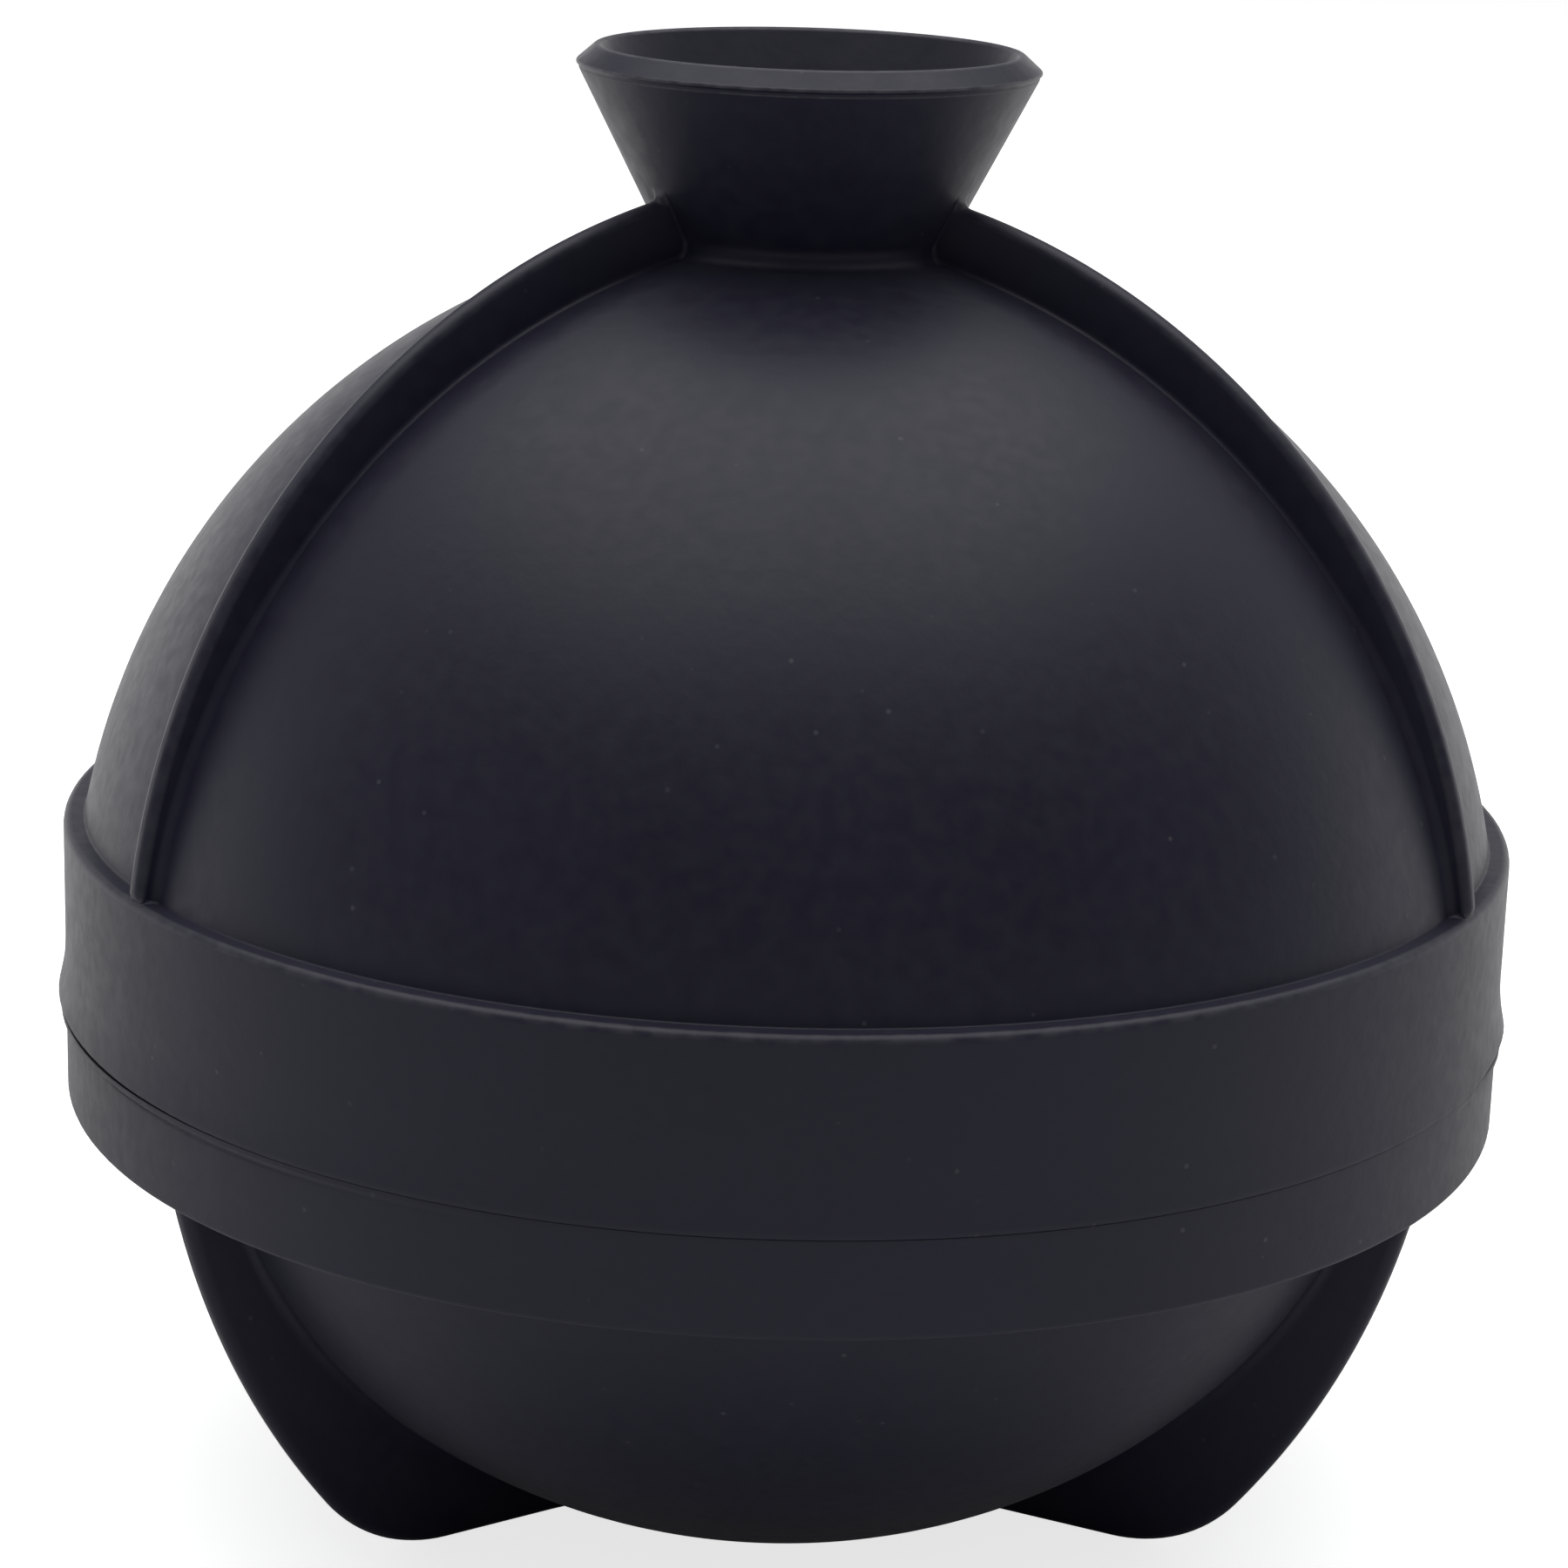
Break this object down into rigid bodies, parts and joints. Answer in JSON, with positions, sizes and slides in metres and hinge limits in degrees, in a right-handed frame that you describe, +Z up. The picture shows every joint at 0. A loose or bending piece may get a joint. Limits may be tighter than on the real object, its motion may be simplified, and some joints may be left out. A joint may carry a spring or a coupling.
{
  "type": "ice ball mold",
  "caption": "Silicone mould for a large ball of ice: a bowl on three legs with a collar, and a ribbed dome with a skirt and a filling funnel that lifts off.",
  "frame": {"origin": "on the table under the middle of the bowl, level with the feet", "axes": "+Z up along the mould's axis, through the middle of the filling funnel; -Y the front, midway between two ribs"},
  "size_m": [0.0776, 0.0778, 0.0781],
  "materials": {
    "silicone": "matt moulded silicone, nearly black with a cool tint"
  },
  "bodies": {
    "lower": {"lower_half": "silicone"},
    "upper": {"upper_half": "silicone"}
  },
  "joints": [
    {"name": "upper_lift", "type": "slide", "parent": "lower", "child": "upper", "axis": [0, 0, 1], "range_m": [0, 0.045]}
  ]
}
